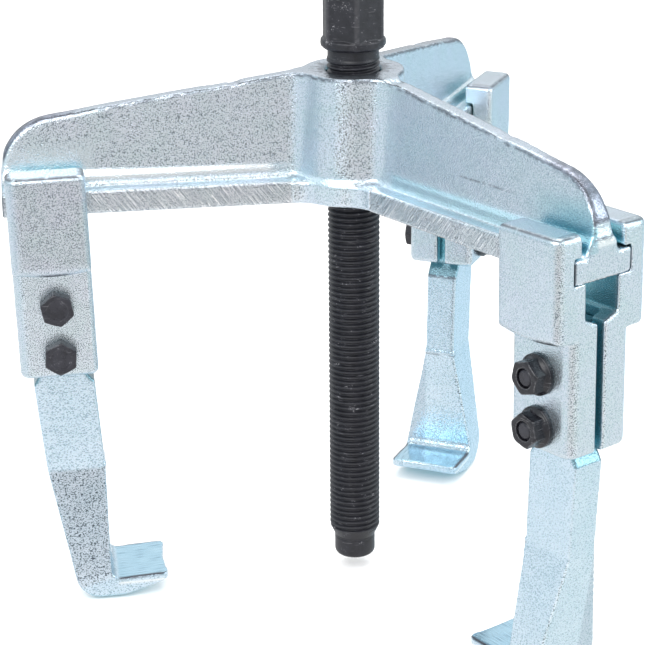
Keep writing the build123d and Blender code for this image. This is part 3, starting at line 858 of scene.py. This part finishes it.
crossbeam()
spindle()
spindle_point()
for number, name in enumerate(ARMS):
    place = jaw_axes(name)
    for k, side in enumerate(("bolt", "nut")):
        slide_half(name, side, place, 31 + 7 * number + k)
    hook(name, place, 71 + 5 * number)
    for level, bolt_up in zip(("upper", "lower"), BOLT_UP):
        for kind in ("bolt", "nut"):
            screw(name, level, kind, bolt_up, place, 91 + number)


# --- floor, light and camera ---------------------------------------------------------------
LENS = 117.77
CAMERA_PLACE = (-0.08443, -0.53098, 0.2694)
CAMERA_FORWARD = (0.1323, 0.9275, -0.3495)
CAMERA_ROLL = -0.009
MIDDLE = (0, 0, 0.08)   # the lights aim here


def glossy_ray(tree):
    return node(tree, "ShaderNodeLightPath").outputs["Is Glossy Ray"]


def reflected_floor(tree):
    """What the plating mirrors of the floor: bright near the tool, falling off further away, and
    less to the left and right than before and behind."""
    place = object_place(tree)
    spot = node(tree, "ShaderNodeSeparateXYZ")
    link(tree, place, spot.inputs[0])
    length = node(tree, "ShaderNodeVectorMath", operation="LENGTH")
    link(tree, place, length.inputs[0])
    far = length.outputs["Value"]
    to_right = math_node(tree, "DIVIDE", spot.outputs["X"], far)
    to_back = math_node(tree, "DIVIDE", spot.outputs["Y"], far)
    before = ramp(
        tree, far,
        ((0.10, (1.08, 1.07, 1.07)), (0.20, (0.97, 0.96, 0.96)), (0.28, (0.80, 0.79, 0.79)),
         (0.55, grey(0.70)), (1.0, grey(0.56))),
    )
    beside = ramp(
        tree, far,
        ((0.12, (1.02, 1.04, 1.06)), (0.30, (0.98, 1.01, 1.04)), (0.60, (0.86, 0.92, 0.96)),
         (1.0, (0.80, 0.88, 0.93))),
    )
    side_stops = ((0.22, grey(0.0)), (0.55, grey(1.0)))
    on_right = ramp(tree, to_right, side_stops)
    on_left = ramp(tree, math_node(tree, "MULTIPLY", to_right, -1.0), side_stops)
    tinge = ramp(tree, to_back, ((0.0, (0.95, 0.97, 0.94)), (0.25, (0.78, 0.93, 1.0))))
    right_floor = mixed(tree, 1.0, beside, tinge, "MULTIPLY")
    return mixed(tree, on_right, mixed(tree, on_left, before, beside), right_floor)


def studio_floor():
    """A plain white floor, just below the tool."""
    bpy.ops.mesh.primitive_plane_add(size=8.0, location=(0, 0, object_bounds()[0][2] - 0.0002))
    floor = bpy.context.object
    floor.name = "floor"
    mat, tree, shader = material("floor_white")
    shader.inputs["Base Color"].default_value = (*grey(0.96), 1)
    shader.inputs["Roughness"].default_value = 0.9
    shader.inputs["Specular IOR Level"].default_value = 0.1
    glow = node(tree, "ShaderNodeEmission")
    link(tree, reflected_floor(tree), glow.inputs["Color"])
    mirror = node(tree, "ShaderNodeMixShader")
    for source, target in zip((glossy_ray(tree), shader.outputs[0], glow.outputs[0]), mirror.inputs):
        link(tree, source, target)
    link(tree, mirror.outputs[0], tree.nodes["Material Output"].inputs["Surface"])
    floor.data.materials.append(mat)


def studio_world():
    """An even white room, with a dark patch right overhead for the plating to mirror."""
    world = bpy.data.worlds.new("studio")
    bpy.context.scene.world = world
    world.use_nodes = True
    tree = world.node_tree
    sky = node(tree, "ShaderNodeSeparateXYZ")
    link(tree, node(tree, "ShaderNodeTexCoord").outputs["Generated"], sky.inputs[0])
    by_height = ramp(
        tree, sky.outputs["Z"],
        ((0.0, (0.50, 0.50, 0.51)), (0.07, (0.60, 0.61, 0.62)), (0.20, (0.98, 0.99, 1.0)),
         (0.70, grey(1.22)), (0.90, grey(1.15)), (0.945, (0.08, 0.08, 0.09)), (1.0, (0.05, 0.05, 0.06))),
    )
    by_side = ramp(
        tree, math_node(tree, "ABSOLUTE", sky.outputs["X"]),
        ((0.2, (0.92, 0.94, 0.96)), (0.8, (0.90, 1.02, 1.08))),
    )
    mirrored = mixed(tree, 1.0, by_height, by_side, "MULTIPLY")
    light = mixed(tree, glossy_ray(tree), grey(1.40), mirrored)
    link(tree, light, tree.nodes["Background"].inputs["Color"])


def area_light(name, place, size, power, colour=(1, 1, 1)):
    """A rectangular softbox aimed at the tool."""
    data = bpy.data.lights.new(name, "AREA")
    data.shape = "RECTANGLE"
    data.size, data.size_y = size
    data.energy = power
    data.color = colour
    obj = new_object(name, data)
    obj.location = place
    obj.rotation_euler = (Vector(MIDDLE) - Vector(place)).to_track_quat("-Z", "Y").to_euler()


def studio_camera():
    """Looks down on the tool a little, from its front left."""
    data = bpy.data.cameras.new("camera")
    data.sensor_width = 36.0
    data.lens = LENS
    data.clip_start, data.clip_end = 0.01, 20.0
    camera = new_object("camera", data)
    forward = Vector(CAMERA_FORWARD).normalized()
    right = forward.cross(UP).normalized()
    above = right.cross(forward)
    x_axis = right * math.cos(CAMERA_ROLL) + above * math.sin(CAMERA_ROLL)
    y_axis = above * math.cos(CAMERA_ROLL) - right * math.sin(CAMERA_ROLL)
    turn = Matrix((x_axis, y_axis, -forward)).transposed().to_4x4()
    camera.matrix_world = Matrix.Translation(CAMERA_PLACE) @ turn
    bpy.context.scene.camera = camera


studio_floor()
studio_world()
area_light("key", (-0.35, -0.55, 0.60), size=(0.5, 0.5), power=3.0)
area_light("top", (0.1, 0.15, 0.8), size=(0.5, 0.5), power=2.0)
area_light("side", (0.6, -0.25, 0.35), size=(0.3, 0.5), power=1.5, colour=(0.92, 0.98, 1.0))
studio_camera()
bpy.context.scene.view_settings.view_transform = "Standard"
